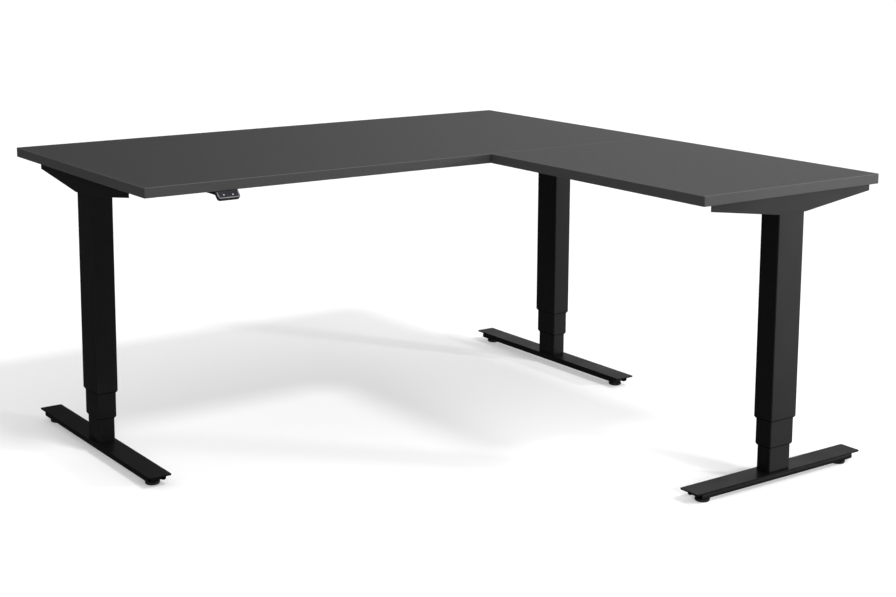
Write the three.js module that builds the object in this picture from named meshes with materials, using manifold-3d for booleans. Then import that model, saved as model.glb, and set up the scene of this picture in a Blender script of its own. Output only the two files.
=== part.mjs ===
// An L-shaped, height-adjustable desk on three telescopic columns.
// Millimetres, +Z up. The origin is on the floor under the middle of the desk's square outline.
// The main top runs along X behind y = 0, and the return runs towards -Y at the right end.
import * as THREE from "three";
import { mergeVertices } from "three/addons/utils/BufferGeometryUtils.js";
import Module from "manifold-3d";

const wasm = await Module();
wasm.setup();

// ---- Driving dimensions: the tops ----
const OUTLINE = 1600; // overall width and overall depth
const MAIN_DEPTH = 800;
const RETURN_WIDTH = 600;
const TOP_THICKNESS = 25;
const DESK_HEIGHT = 750; // working surface above the floor, as stored
const BAND = 2; // thickness of the edge banding
const TOP_CORNER_RADIUS = 3;
const SEAM = 0.4; // joint between the main top and the return
const FIT = 0.3; // gap between parts that rest on, or bolt to, each other

// ---- Driving dimensions: the columns, section sizes across and along the foot ----
const OUTER_SECTION = [58, 88];
const STAGE_STEP = 4; // each stage is this much smaller on every side
const TUBE_WALL = 2;
const TUBE_RADIUS = 3;
const OUTER_BOTTOM = 166; // the top stage is the largest tube
const MIDDLE_BOTTOM = 98;
const MIDDLE_LENGTH = 450;
const INNER_LENGTH = 424.7;
const COLLAR_HEIGHT = 60;
const COLLAR_LIP = 3; // the collar shows this far below the mouth of its tube
const LEG_INSET = 50; // column centre from the edge of the top

// ---- Driving dimensions: the drive inside each column ----
const MOTOR_PLATE_Z = 704;
const MOTOR_PLATE_THICKNESS = 6;
const MOTOR_RADIUS = 23;
const MOTOR_LENGTH = 54;
const GEARBOX_RADIUS = 20;
const GEARBOX_LENGTH = 28;
const SCREW_RADIUS = 6;
const SCREW_HUB_RADIUS = 9;
const SCREW_HUB_LENGTH = 15;
const SCREW_BOTTOM = 172;
const SLEEVE_RADII = [6.5, 10];
const SLEEVE_BOTTOM = 105;
const SLEEVE_TOP = 535;
const SLEEVE_FLANGE = 8;
const NUT_RADII = [10.5, 13];
const NUT_TOP = 455;
const NUT_FLANGE = 4;

// ---- Driving dimensions: the feet and glides ----
const FOOT_TOP = 32;
const FOOT_WIDTH = 60;
const FOOT_PLATE = 3.5;
const FOOT_LENGTH = 690;
const RETURN_FOOT_LENGTH = 572;
const CHANNEL_INSET = 22; // the channel stops short of each end of the plate
const CHANNEL_BOTTOM = 12;
const CHANNEL_HALF_WIDTH = 25;
const CHANNEL_SHEET = 2.5;
const GLIDE_INSET = 46;
const GLIDE_RADIUS = 18.5;
const GLIDE_STUD_RADIUS = 4.8;
const GLIDE_STUD_TOP = 24.5;

// ---- Driving dimensions: the support arms and rails ----
const ARM_LENGTH = 545;
const ARM_WIDTH = 65;
const ARM_END_DEPTH = 18;
const ARM_INNER_END_DEPTH = 8; // the side facing into the desk is shallower at its ends
const ARM_MID_DEPTH = 48;
const ARM_FLAT_HALF = 45; // half of the level stretch around the column
const ARM_SHEET = 2.5;
const ARM_TOP_SHEET = 3;
const RAIL_WIDTH = 40;
const RAIL_DEPTH = 30;
const RAIL_SHEET = 2;
const RAIL_OFFSET = 110; // rail centre from the column centre

// ---- Driving dimensions: electrics ----
const BOX_LENGTH = 250;
const BOX_WIDTH = 100;
const BOX_HEIGHT = 36;
const BOX_WALL = 2.5;
const BOX_LEFT = 40;
const LEAD_RADIUS = 2.5;
const LEAD_Z = 717;
const LEAD_SLOT = 12;
const HANDSET_X = -587;
const HANDSET_WIDTH = 60;
const HANDSET_FACE = 20; // length of the sloping face
const HANDSET_THICKNESS = 7.5;
const HANDSET_CORNER = 7;
const HANDSET_FLANGE = 9; // depth of the part under the top
const HANDSET_REACH = 62; // how far it runs back under the top
const BUTTON_SPACING = 24;
const BUTTON_SIZE = [14, 10.4];
const LEAD_BEND = 25;
const LEAD_BEND_STEPS = 5;
const SEAM_PLATE = [50, 120, 2.5];
const ARC_STEPS = 2; // fineness of the rounded outlines

// ---- Places worked out from them ----
const HALF = OUTLINE / 2;
const MAIN_FRONT = HALF - MAIN_DEPTH;
const RETURN_LEFT = HALF - RETURN_WIDTH;
const RETURN_LENGTH = OUTLINE - MAIN_DEPTH;
const UNDERSIDE = DESK_HEIGHT - TOP_THICKNESS;
const ARM_TOP = UNDERSIDE - FIT;
const TUBE_TOP = ARM_TOP - ARM_TOP_SHEET - FIT;
const MAIN_CENTRE_Y = HALF - MAIN_DEPTH / 2;
const RETURN_LEG_X = HALF - RETURN_FOOT_LENGTH / 2;
const COLUMN_FACE = HALF - LEG_INSET - ARM_WIDTH / 2; // inner side of the left and corner arms
const FOOT_REST = FOOT_TOP + FIT;

// ---- Materials ----
const LAMINATE = { color: 0x4b4c4e, roughness: 0.55, metalness: 0 };
const EDGING = { color: 0x505153, roughness: 0.45, metalness: 0 };
const POWDER_COAT = { color: 0x18181a, roughness: 0.5, metalness: 0.2 };
const BLACK_PLASTIC = { color: 0x0d0d0e, roughness: 0.45, metalness: 0 };
const RUBBER = { color: 0x0b0b0b, roughness: 0.8, metalness: 0 };
const STEEL = { color: 0x9a9c9f, roughness: 0.35, metalness: 1 };
const SILVER = { color: 0xa9a9b0, roughness: 0.3, metalness: 0.6 };
const KEYPAD = { color: 0x2b2831, roughness: 0.5, metalness: 0 };

const desk = new THREE.Group();

function addMesh(parent, name, geometry, look) {
  const mesh = new THREE.Mesh(geometry, new THREE.MeshStandardMaterial(look));
  mesh.name = name;
  parent.add(mesh);
  return mesh;
}

// ---- Solids: joining and cutting closed geometry ----
function solidOf(geometry) {
  const plain = geometry.index ? geometry.toNonIndexed() : geometry.clone();
  plain.deleteAttribute("normal");
  plain.deleteAttribute("uv");
  const merged = mergeVertices(plain, 1e-4);
  return new wasm.Manifold(
    new wasm.Mesh({
      numProp: 3,
      vertProperties: merged.attributes.position.array,
      triVerts: new Uint32Array(merged.index.array),
    }),
  );
}

function geometryOf(solid) {
  const mesh = solid.getMesh();
  const geometry = new THREE.BufferGeometry();
  geometry.setAttribute("position", new THREE.BufferAttribute(mesh.vertProperties, 3));
  geometry.setIndex(new THREE.BufferAttribute(mesh.triVerts, 1));
  const faceted = geometry.toNonIndexed();
  faceted.computeVertexNormals();
  return faceted;
}

function join(...geometries) {
  return geometryOf(geometries.map(solidOf).reduce((a, b) => a.add(b)));
}

function cut(geometry, ...tools) {
  return geometryOf(tools.map(solidOf).reduce((a, b) => a.subtract(b), solidOf(geometry)));
}

// ---- Outlines and simple bodies ----
function roundedRectangle(width, height, radius) {
  const x = width / 2;
  const y = height / 2;
  const shape = new THREE.Shape();
  shape.moveTo(x, -y + radius);
  shape.lineTo(x, y - radius);
  shape.absarc(x - radius, y - radius, radius, 0, Math.PI / 2, false);
  shape.absarc(-x + radius, y - radius, radius, Math.PI / 2, Math.PI, false);
  shape.absarc(-x + radius, -y + radius, radius, Math.PI, 1.5 * Math.PI, false);
  shape.absarc(x - radius, -y + radius, radius, 1.5 * Math.PI, 2 * Math.PI, false);
  return shape;
}

function circle(radius) {
  const quarter = Math.PI / 2;
  const shape = new THREE.Shape();
  for (let i = 0; i < 4; i += 1) {
    shape.absarc(0, 0, radius, i * quarter, (i + 1) * quarter, false);
  }
  return shape;
}

function withHole(shape, hole) {
  shape.holes.push(hole);
  return shape;
}

// Every quarter arc is drawn with twice ARC_STEPS straight pieces.
function extrudeUp(shape, low, high) {
  const options = { depth: high - low, bevelEnabled: false, curveSegments: ARC_STEPS };
  return new THREE.ExtrudeGeometry(shape, options).translate(0, 0, low);
}

// A (y, z) outline carried along X from low to high.
function extrudeAlongX(shape, low, high) {
  const geometry = extrudeUp(shape, low, high);
  const turn = new THREE.Matrix4().makeBasis(
    new THREE.Vector3(0, 1, 0),
    new THREE.Vector3(0, 0, 1),
    new THREE.Vector3(1, 0, 0),
  );
  return geometry.applyMatrix4(turn);
}

// An (x, z) outline carried along Y from low to high.
function extrudeAlongY(shape, low, high) {
  const geometry = extrudeUp(shape, -high, -low);
  return geometry.applyMatrix4(new THREE.Matrix4().makeRotationX(Math.PI / 2));
}

function block(xRange, yRange, zRange) {
  const size = [xRange, yRange, zRange].map(([low, high]) => high - low);
  const middle = [xRange, yRange, zRange].map(([low, high]) => (low + high) / 2);
  return new THREE.BoxGeometry(...size).translate(...middle);
}

function polygon(points) {
  return new THREE.Shape(points.map(([x, y]) => new THREE.Vector2(x, y)));
}

// ---- The tops ----
// A laminated board with a separate band of edging round its four sides.
function addTop(name, width, depth, x, y) {
  const core = roundedRectangle(width - 2 * BAND, depth - 2 * BAND, TOP_CORNER_RADIUS - BAND);
  const hole = roundedRectangle(width - 2 * BAND, depth - 2 * BAND, TOP_CORNER_RADIUS - BAND);
  const ring = withHole(roundedRectangle(width, depth, TOP_CORNER_RADIUS), hole);
  const board = addMesh(desk, `${name}_desktop`, extrudeUp(core, 0, TOP_THICKNESS), LAMINATE);
  const band = addMesh(desk, `${name}_edge_band`, extrudeUp(ring, 0, TOP_THICKNESS), EDGING);
  board.position.set(x, y, UNDERSIDE);
  band.position.set(x, y, UNDERSIDE);
}

function addTops() {
  addTop("main", OUTLINE, MAIN_DEPTH, 0, MAIN_CENTRE_Y);
  const length = RETURN_LENGTH - SEAM;
  addTop("return", RETURN_WIDTH, length, HALF - RETURN_WIDTH / 2, MAIN_FRONT - SEAM - length / 2);
}

// ---- One leg, in its own frame: the column on the Z axis, the foot along Y ----
function stageSection(stage) {
  return OUTER_SECTION.map((size) => size - 2 * STAGE_STEP * stage);
}

function tubeGeometry(stage, low, high) {
  const [across, along] = stageSection(stage);
  const bore = roundedRectangle(across - 2 * TUBE_WALL, along - 2 * TUBE_WALL, TUBE_RADIUS - TUBE_WALL);
  return extrudeUp(withHole(roundedRectangle(across, along, TUBE_RADIUS), bore), low, high);
}

// The plastic guide fixed in the mouth of one stage, in which the next stage slides. Its lip is
// the dark line under the stage.
function collarGeometry(stage, mouth) {
  const [across, along] = stageSection(stage);
  const [nextAcross, nextAlong] = stageSection(stage + 1);
  const play = 0.4;
  const slide = 0.6;
  const outside = roundedRectangle(
    across - 2 * TUBE_WALL - play,
    along - 2 * TUBE_WALL - play,
    TUBE_RADIUS - TUBE_WALL,
  );
  const inside = roundedRectangle(nextAcross + slide, nextAlong + slide, TUBE_RADIUS);
  const low = mouth - COLLAR_LIP;
  return extrudeUp(withHole(outside, inside), low, low + COLLAR_HEIGHT);
}

// The outer tube's lead slot is open at the top end, on the side that faces into the desk.
function outerTubeGeometry() {
  const slot = block(
    [OUTER_SECTION[0] / 2 - 2 * TUBE_WALL, OUTER_SECTION[0] / 2 + 1],
    [-LEAD_SLOT / 2, LEAD_SLOT / 2],
    [LEAD_Z - LEAD_SLOT / 2, TUBE_TOP + 1],
  );
  return cut(tubeGeometry(0, OUTER_BOTTOM, TUBE_TOP), slot);
}

// An inverted steel channel, open at both ends, deepest at the column and tapering away from it.
function armGeometry() {
  const end = ARM_LENGTH / 2;
  const outline = polygon([
    [-end, ARM_TOP],
    [-end, ARM_TOP - ARM_END_DEPTH],
    [-ARM_FLAT_HALF, ARM_TOP - ARM_MID_DEPTH],
    [ARM_FLAT_HALF, ARM_TOP - ARM_MID_DEPTH],
    [end, ARM_TOP - ARM_END_DEPTH],
    [end, ARM_TOP],
  ]);
  const inside = ARM_WIDTH / 2 - ARM_SHEET;
  const ceiling = ARM_TOP - ARM_TOP_SHEET;
  const cavity = block(
    [-inside, inside],
    [-end - 1, end + 1],
    [ARM_TOP - ARM_MID_DEPTH - 1, ceiling],
  );
  const slot = block(
    [inside - 1, ARM_WIDTH / 2 + 1],
    [-LEAD_SLOT / 2, LEAD_SLOT / 2],
    [LEAD_Z - LEAD_SLOT / 2, ceiling - FIT],
  );
  const tapers = [-1, 1].map((side) => {
    const wedge = polygon([
      [side * (end + 1), ARM_TOP - ARM_INNER_END_DEPTH],
      [side * ARM_FLAT_HALF, ARM_TOP - ARM_MID_DEPTH],
      [side * (end + 1), ARM_TOP - ARM_MID_DEPTH],
    ]);
    return extrudeAlongX(wedge, inside - 1, ARM_WIDTH / 2 + 1);
  });
  return cut(extrudeAlongX(outline, -ARM_WIDTH / 2, ARM_WIDTH / 2), cavity, slot, ...tapers);
}

// The folded sheet under the foot's plate: a necked, round-shouldered section open below.
function channelOutline() {
  const neck = 21;
  const shoulderZ = 22.5;
  const lowerRadius = 5;
  const lowerX = CHANNEL_HALF_WIDTH - lowerRadius;
  const lowerZ = CHANNEL_BOTTOM + lowerRadius;
  const shoulder = CHANNEL_HALF_WIDTH - neck;
  const lip = 12;
  const ceiling = 26;
  const shape = new THREE.Shape();
  shape.moveTo(lip, CHANNEL_BOTTOM);
  shape.absarc(lowerX, lowerZ, lowerRadius, -Math.PI / 2, 0, false);
  shape.absarc(neck, shoulderZ, shoulder, 0, Math.PI / 2, false);
  shape.lineTo(neck, FOOT_TOP - FOOT_PLATE + 1);
  shape.lineTo(-neck, FOOT_TOP - FOOT_PLATE + 1);
  shape.absarc(-neck, shoulderZ, shoulder, Math.PI / 2, Math.PI, false);
  shape.absarc(-lowerX, lowerZ, lowerRadius, Math.PI, 1.5 * Math.PI, false);
  shape.lineTo(-lip, CHANNEL_BOTTOM);
  shape.lineTo(-lip, CHANNEL_BOTTOM + CHANNEL_SHEET);
  shape.lineTo(-lowerX, CHANNEL_BOTTOM + CHANNEL_SHEET);
  shape.lineTo(-CHANNEL_HALF_WIDTH + CHANNEL_SHEET, lowerZ);
  shape.lineTo(-CHANNEL_HALF_WIDTH + CHANNEL_SHEET, shoulderZ);
  shape.lineTo(-neck, ceiling);
  shape.lineTo(neck, ceiling);
  shape.lineTo(CHANNEL_HALF_WIDTH - CHANNEL_SHEET, shoulderZ);
  shape.lineTo(CHANNEL_HALF_WIDTH - CHANNEL_SHEET, lowerZ);
  shape.lineTo(lowerX, CHANNEL_BOTTOM + CHANNEL_SHEET);
  shape.lineTo(lip, CHANNEL_BOTTOM + CHANNEL_SHEET);
  return shape;
}

function footGeometry(length) {
  const cornerRadius = 4;
  const plate = extrudeUp(
    roundedRectangle(FOOT_WIDTH, length, cornerRadius),
    FOOT_TOP - FOOT_PLATE,
    FOOT_TOP,
  );
  const channelEnd = length / 2 - CHANNEL_INSET;
  const channel = extrudeAlongY(channelOutline(), -channelEnd, channelEnd);
  const glideY = length / 2 - GLIDE_INSET;
  const boss = [14, 19];
  const bosses = [];
  const studHoles = [];
  for (const y of [-glideY, glideY]) {
    bosses.push(
      block(
        [-boss[0], boss[0]],
        [y - boss[1], y + boss[1]],
        [CHANNEL_BOTTOM + 1, FOOT_TOP - FOOT_PLATE + 1],
      ),
    );
    const hole = extrudeUp(circle(GLIDE_STUD_RADIUS + 0.5), 0, GLIDE_STUD_TOP + 1.5);
    studHoles.push(hole.translate(0, y, 0));
  }
  return cut(join(plate, channel, ...bosses), ...studHoles);
}

// A round levelling glide with its threaded stud, screwed fully in.
function glideGeometry() {
  const profile = [
    [0, 0],
    [15, 0],
    [17.6, 1.4],
    [GLIDE_RADIUS, 4],
    [GLIDE_RADIUS, 7],
    [13, 10],
    [GLIDE_STUD_RADIUS, CHANNEL_BOTTOM - 0.7],
    [GLIDE_STUD_RADIUS, GLIDE_STUD_TOP],
    [0, GLIDE_STUD_TOP],
  ].map(([radius, z]) => new THREE.Vector2(radius, z));
  return new THREE.LatheGeometry(profile, 16).rotateX(Math.PI / 2);
}

// Mounting plate, motor can, gearbox and cable gland, hung in the head of the outer tube.
function motorGeometry() {
  const play = 0.6;
  const [across, along] = OUTER_SECTION.map((size) => size - 2 * TUBE_WALL - play);
  const plateTop = MOTOR_PLATE_Z + MOTOR_PLATE_THICKNESS;
  const canBottom = MOTOR_PLATE_Z - MOTOR_LENGTH;
  const plate = extrudeUp(roundedRectangle(across, along, 2), MOTOR_PLATE_Z, plateTop);
  const can = extrudeUp(circle(MOTOR_RADIUS), canBottom, MOTOR_PLATE_Z + 1);
  const gearbox = extrudeUp(circle(GEARBOX_RADIUS), canBottom - GEARBOX_LENGTH, canBottom + 1);
  const gland = block([8, 20], [-5, 5], [plateTop - 1, TUBE_TOP - 0.5]);
  return join(plate, can, gearbox, gland);
}

function motorBottom() {
  return MOTOR_PLATE_Z - MOTOR_LENGTH - GEARBOX_LENGTH;
}

function screwGeometry() {
  const top = motorBottom() - FIT;
  const profile = [
    [0, SCREW_BOTTOM],
    [SCREW_RADIUS - 1, SCREW_BOTTOM],
    [SCREW_RADIUS, SCREW_BOTTOM + 1],
    [SCREW_RADIUS, top - SCREW_HUB_LENGTH],
    [SCREW_HUB_RADIUS, top - SCREW_HUB_LENGTH],
    [SCREW_HUB_RADIUS, top],
    [0, top],
  ].map(([radius, z]) => new THREE.Vector2(radius, z));
  return new THREE.LatheGeometry(profile, 12).rotateX(Math.PI / 2);
}

// The hollow second screw, hung from a flange in the middle tube.
function sleeveGeometry() {
  const play = 0.6;
  const [across, along] = stageSection(1).map((size) => size - 2 * TUBE_WALL - play);
  const [bore, outside] = SLEEVE_RADII;
  const flange = extrudeUp(
    withHole(roundedRectangle(across, along, 2), circle(bore)),
    SLEEVE_TOP - SLEEVE_FLANGE,
    SLEEVE_TOP,
  );
  const pipe = extrudeUp(withHole(circle(outside), circle(bore)), SLEEVE_BOTTOM, SLEEVE_TOP);
  return join(flange, pipe);
}

// The long nut that stands on the foot inside the inner tube.
function nutGeometry() {
  const play = 2;
  const [across, along] = stageSection(2).map((size) => size - 2 * TUBE_WALL - play);
  const [bore, outside] = NUT_RADII;
  const flange = extrudeUp(
    withHole(roundedRectangle(across, along, 2), circle(bore)),
    FOOT_REST,
    FOOT_REST + NUT_FLANGE,
  );
  const pipe = extrudeUp(withHole(circle(outside), circle(bore)), FOOT_REST, NUT_TOP);
  return join(flange, pipe);
}

function addLeg(name, x, y, turn, footLength) {
  const leg = new THREE.Group();
  leg.position.set(x, y, 0);
  leg.rotation.z = turn;
  desk.add(leg);
  addMesh(leg, `${name}_foot`, footGeometry(footLength), POWDER_COAT);
  for (const [end, side] of [
    ["a", -1],
    ["b", 1],
  ]) {
    const glide = addMesh(leg, `${name}_glide_${end}`, glideGeometry(), RUBBER);
    glide.position.y = side * (footLength / 2 - GLIDE_INSET);
  }
  addMesh(leg, `${name}_inner_tube`, tubeGeometry(2, FOOT_REST, FOOT_REST + INNER_LENGTH), POWDER_COAT);
  addMesh(leg, `${name}_nut_tube`, nutGeometry(), STEEL);
  const middleTop = MIDDLE_BOTTOM + MIDDLE_LENGTH;
  addMesh(leg, `${name}_middle_tube`, tubeGeometry(1, MIDDLE_BOTTOM, middleTop), POWDER_COAT);
  addMesh(leg, `${name}_middle_collar`, collarGeometry(1, MIDDLE_BOTTOM), BLACK_PLASTIC);
  addMesh(leg, `${name}_screw_sleeve`, sleeveGeometry(), STEEL);
  addMesh(leg, `${name}_outer_tube`, outerTubeGeometry(), POWDER_COAT);
  addMesh(leg, `${name}_outer_collar`, collarGeometry(0, OUTER_BOTTOM), BLACK_PLASTIC);
  addMesh(leg, `${name}_lead_screw`, screwGeometry(), STEEL);
  addMesh(leg, `${name}_motor`, motorGeometry(), STEEL);
  addMesh(leg, `${name}_support_arm`, armGeometry(), POWDER_COAT);
}

function addLegs() {
  const side = HALF - LEG_INSET;
  addLeg("left", -side, MAIN_CENTRE_Y, 0, FOOT_LENGTH);
  addLeg("corner", side, MAIN_CENTRE_Y, Math.PI, FOOT_LENGTH);
  addLeg("return", RETURN_LEG_X, -side, Math.PI / 2, RETURN_FOOT_LENGTH);
}

// ---- The rails that tie the arms together, and the plates across the seam ----
function railOutline() {
  const half = RAIL_WIDTH / 2;
  return polygon([
    [-half, ARM_TOP - RAIL_DEPTH],
    [-half + RAIL_SHEET, ARM_TOP - RAIL_DEPTH],
    [-half + RAIL_SHEET, ARM_TOP - RAIL_SHEET],
    [half - RAIL_SHEET, ARM_TOP - RAIL_SHEET],
    [half - RAIL_SHEET, ARM_TOP - RAIL_DEPTH],
    [half, ARM_TOP - RAIL_DEPTH],
    [half, ARM_TOP],
    [-half, ARM_TOP],
  ]);
}

function addRails() {
  const reach = COLUMN_FACE - FIT;
  const frontY = MAIN_CENTRE_Y - RAIL_OFFSET;
  const notches = [RETURN_LEG_X, handsetLeadX()].map((x) =>
    block(
      [x - LEAD_SLOT / 2, x + LEAD_SLOT / 2],
      [-RAIL_WIDTH, RAIL_WIDTH],
      [LEAD_Z - LEAD_SLOT / 2, LEAD_Z + LEAD_RADIUS + 1.5],
    ),
  );
  const plain = extrudeAlongX(railOutline(), -reach, reach);
  addMesh(desk, "main_front_rail", cut(plain, ...notches), POWDER_COAT).position.y = frontY;
  addMesh(desk, "main_back_rail", plain, POWDER_COAT).position.y = MAIN_CENTRE_Y + RAIL_OFFSET;
  const low = -reach;
  const high = frontY - RAIL_WIDTH / 2 - FIT;
  for (const [name, side] of [
    ["return_left_rail", -1],
    ["return_right_rail", 1],
  ]) {
    const rail = addMesh(desk, name, extrudeAlongY(railOutline(), low, high), POWDER_COAT);
    rail.position.x = RETURN_LEG_X + side * RAIL_OFFSET;
  }
}

function addSeamPlates() {
  const [width, length, thickness] = SEAM_PLATE;
  const innerX = RETURN_LEFT + 100;
  const outerX = HALF - 116;
  for (const [name, x] of [
    ["inner_seam_plate", innerX],
    ["outer_seam_plate", outerX],
  ]) {
    const plate = extrudeUp(roundedRectangle(width, length, 6), ARM_TOP - thickness, ARM_TOP);
    addMesh(desk, name, plate, POWDER_COAT).position.set(x, MAIN_FRONT, 0);
  }
}

// ---- The control box between the main rails ----
function boxMiddle() {
  return [BOX_LEFT + BOX_LENGTH / 2, MAIN_CENTRE_Y];
}

function addControlBox() {
  const [x, y] = boxMiddle();
  const low = ARM_TOP - BOX_HEIGHT;
  const shell = extrudeUp(roundedRectangle(BOX_LENGTH, BOX_WIDTH, 5), low, ARM_TOP);
  const room = extrudeUp(
    roundedRectangle(BOX_LENGTH - 2 * BOX_WALL, BOX_WIDTH - 2 * BOX_WALL, 2.5),
    low - 1,
    ARM_TOP - BOX_WALL,
  );
  const [socketLow, socketHigh] = inletHeights();
  const window = block(
    [BOX_LENGTH / 2 - 2 * BOX_WALL, BOX_LENGTH / 2 + 1],
    [inletOffset() - 14.4, inletOffset() + 14.4],
    [socketLow, socketHigh],
  );
  addMesh(desk, "control_box_body", cut(shell, room, window), BLACK_PLASTIC).position.set(x, y, 0);
  const lid = extrudeUp(
    roundedRectangle(BOX_LENGTH - 2 * BOX_WALL - 2 * FIT, BOX_WIDTH - 2 * BOX_WALL - 2 * FIT, 2.2),
    low,
    low + BOX_WALL,
  );
  addMesh(desk, "control_box_lid", lid, BLACK_PLASTIC).position.set(x, y, 0);
}

function inletOffset() {
  return BOX_WIDTH / 2 - 22;
}

function inletHeights() {
  const middle = ARM_TOP - BOX_HEIGHT / 2;
  return [middle - 10.4, middle + 10.4];
}

// The mains socket: a bezel on the box's end with a recess for the plug.
function addMainsInlet() {
  const [x, y] = boxMiddle();
  const [low, high] = inletHeights();
  const middle = (low + high) / 2;
  const face = BOX_LENGTH / 2;
  const body = block([face - 17, face + 1], [-14, 14], [low + 0.4, high - 0.4]);
  const bezel = block([face + FIT, face + 2], [-17, 17], [low - 2, high + 2]);
  const recess = block([face - 14, face + 3], [-11.5, 11.5], [middle - 7.5, middle + 7.5]);
  const inlet = addMesh(desk, "mains_inlet", cut(join(body, bezel), recess), BLACK_PLASTIC);
  inlet.position.set(x, y + inletOffset(), 0);
}

// ---- The handset under the main top's front edge ----
// Its face frame has X along the desk, Y up the sloping face and Z out of it.
function handsetFace() {
  const frame = new THREE.Group();
  frame.position.set(HANDSET_X, MAIN_FRONT - 1, UNDERSIDE - 3);
  frame.rotation.x = Math.PI / 4;
  frame.updateMatrix();
  return frame;
}

// A rectangle hanging from y = top whose two lower corners are round.
function tongue(halfWidth, top, bottom, radius) {
  const shape = new THREE.Shape();
  shape.moveTo(halfWidth, top);
  shape.lineTo(-halfWidth, top);
  shape.absarc(-halfWidth + radius, bottom + radius, radius, Math.PI, 1.5 * Math.PI, false);
  shape.absarc(halfWidth - radius, bottom + radius, radius, 1.5 * Math.PI, 2 * Math.PI, false);
  return shape;
}

function addHandset() {
  const face = handsetFace();
  desk.add(face);
  const half = HANDSET_WIDTH / 2;
  const headTop = 3;
  const head = extrudeUp(
    tongue(half, headTop, -HANDSET_FACE, HANDSET_CORNER),
    -HANDSET_THICKNESS,
    0,
  );
  const buttonY = -HANDSET_FACE / 2 + 1;
  const pockets = [-1, 1].map((side) =>
    extrudeUp(roundedRectangle(BUTTON_SIZE[0] + 0.6, BUTTON_SIZE[1] + 0.6, 2.3), -5, 1).translate(
      (side * BUTTON_SPACING) / 2,
      buttonY,
      0,
    ),
  );
  const place = face.matrix.clone();
  const flange = block(
    [-half, half],
    [MAIN_FRONT + 3, MAIN_FRONT + HANDSET_REACH],
    [UNDERSIDE - HANDSET_FLANGE, UNDERSIDE - FIT],
  ).translate(HANDSET_X, 0, 0);
  const shaped = cut(head, ...pockets).applyMatrix4(place);
  addMesh(desk, "handset_housing", join(shaped, flange), BLACK_PLASTIC);

  const outer = 1.4; // the trim's edges, set in from the housing's
  const inner = 4;
  const bottom = -HANDSET_FACE;
  const trimOutline = tongue(half - outer, -0.6, bottom + outer, HANDSET_CORNER - outer);
  const trimInside = tongue(half - inner, 2, bottom + inner, HANDSET_CORNER - inner);
  const trim = cut(extrudeUp(trimOutline, 0.25, 1.2), extrudeUp(trimInside, 0, 2));
  addMesh(face, "handset_trim", trim, SILVER);

  for (const [name, side] of [
    ["down_button", -1],
    ["up_button", 1],
  ]) {
    const cap = extrudeUp(roundedRectangle(...BUTTON_SIZE, 2), -3.2, 0.5);
    addMesh(face, name, cap, KEYPAD).position.set((side * BUTTON_SPACING) / 2, buttonY, 0);
  }
}

// ---- The clipped leads from the control box ----
function handsetLeadX() {
  return BOX_LEFT + BOX_LENGTH / 2;
}

// A path through its stations, one step from each to the next.
class StationPath extends THREE.Curve {
  constructor(stations) {
    super();
    this.stations = stations;
  }

  getPoint(t) {
    const last = this.stations.length - 1;
    const place = Math.min(Math.max(t, 0), 1) * last;
    const index = Math.min(Math.floor(place), last - 1);
    return this.stations[index].clone().lerp(this.stations[index + 1], place - index);
  }

  getUtoTmapping(u) {
    return u;
  }
}

// A round lead along straight runs, bent at each corner between its two ends.
function leadGeometry(corners) {
  const points = corners.map(([x, y]) => new THREE.Vector3(x, y, LEAD_Z));
  const stations = [points[0]];
  for (let i = 1; i < points.length - 1; i += 1) {
    const corner = points[i];
    const start = corner.clone().add(points[i - 1].clone().sub(corner).setLength(LEAD_BEND));
    const stop = corner.clone().add(points[i + 1].clone().sub(corner).setLength(LEAD_BEND));
    stations.push(...new THREE.QuadraticBezierCurve3(start, corner, stop).getPoints(LEAD_BEND_STEPS));
  }
  stations.push(points[points.length - 1]);
  const options = {
    steps: stations.length - 1,
    curveSegments: ARC_STEPS / 2,
    extrudePath: new StationPath(stations),
  };
  return new THREE.ExtrudeGeometry(circle(LEAD_RADIUS), options);
}

function addLeads() {
  const side = HALF - LEG_INSET;
  const glandFace = 20 + FIT; // from the column centre, towards the inside of the desk
  const boxLeft = BOX_LEFT - FIT;
  const boxRight = BOX_LEFT + BOX_LENGTH + FIT;
  const boxFront = MAIN_CENTRE_Y - BOX_WIDTH / 2 - FIT;
  const centreY = MAIN_CENTRE_Y;
  const left = [
    [-side + glandFace, centreY],
    [boxLeft, centreY],
  ];
  const corner = [
    [side - glandFace, centreY],
    [boxRight, centreY],
  ];
  const returnRun = [
    [RETURN_LEG_X, -side + glandFace],
    [RETURN_LEG_X, centreY - 28],
    [boxRight, centreY - 28],
  ];
  const handset = [
    [HANDSET_X, MAIN_FRONT + HANDSET_REACH + FIT],
    [HANDSET_X, centreY - RAIL_OFFSET - 60],
    [handsetLeadX(), centreY - RAIL_OFFSET - 60],
    [handsetLeadX(), boxFront],
  ];
  addMesh(desk, "left_motor_lead", leadGeometry(left), RUBBER);
  addMesh(desk, "corner_motor_lead", leadGeometry(corner), RUBBER);
  addMesh(desk, "return_motor_lead", leadGeometry(returnRun), RUBBER);
  addMesh(desk, "handset_lead", leadGeometry(handset), RUBBER);
}

addTops();
addLegs();
addRails();
addSeamPlates();
addControlBox();
addMainsInlet();
addHandset();
addLeads();

export default desk;
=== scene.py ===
import math

import bmesh
import bpy
from mathutils import Matrix, Vector


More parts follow.
